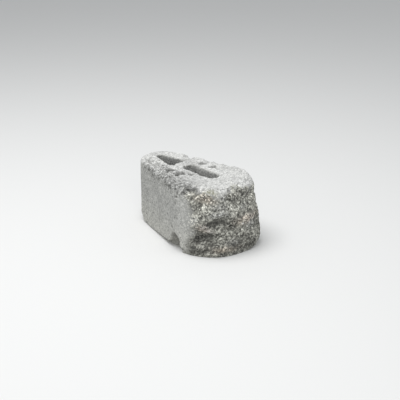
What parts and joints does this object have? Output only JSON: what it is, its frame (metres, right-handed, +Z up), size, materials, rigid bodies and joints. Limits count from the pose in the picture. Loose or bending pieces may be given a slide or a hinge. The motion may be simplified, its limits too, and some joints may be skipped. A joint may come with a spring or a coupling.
{
  "type": "split-face wall block",
  "caption": "Tapered concrete retaining-wall block with a rough bowed split face, round tail, and a slot and a core open from top to bed.",
  "frame": {"origin": "under the middle of the block's bounding box, on its bed", "axes": "+Z up, -Y out of the split face, +Y towards the round tail, +X right as seen from the front"},
  "size_m": [0.2, 0.3304, 0.15],
  "materials": {
    "concrete": "dry-cast concrete, smooth mould sides and a rough split face"
  },
  "bodies": {
    "root": {"wall_block": "concrete"}
  },
  "joints": []
}
